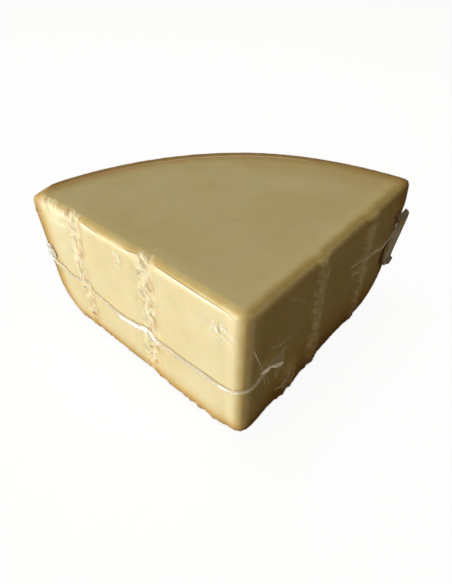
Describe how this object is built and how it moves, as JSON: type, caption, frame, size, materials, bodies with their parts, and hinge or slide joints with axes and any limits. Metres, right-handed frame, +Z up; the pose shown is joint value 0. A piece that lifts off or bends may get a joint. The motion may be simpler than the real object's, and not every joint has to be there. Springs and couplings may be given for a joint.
{
  "type": "vacuum-sealed grana cheese wedge",
  "caption": "Wedge of hard grana cheese from half the height of a wheel, with its rind and crumbly split bands, sealed in tight clear film with a welded seam and a loose flap.",
  "frame": {"origin": "on the base, below the middle of the whole wedge", "axes": "+Z up, +X to the right across the wedge, +Y from the rounded front edge to the rind"},
  "size_m": [0.3137, 0.2175, 0.1155],
  "materials": {
    "cheese": "dense pale straw-yellow cheese paste with a thin darker tan rind, glossy under tight clear film",
    "clear_film": "clear, slightly milky plastic film with sharp highlights"
  },
  "bodies": {
    "root": {"cheese_wedge": "cheese", "film_seam": "clear_film"}
  },
  "joints": []
}
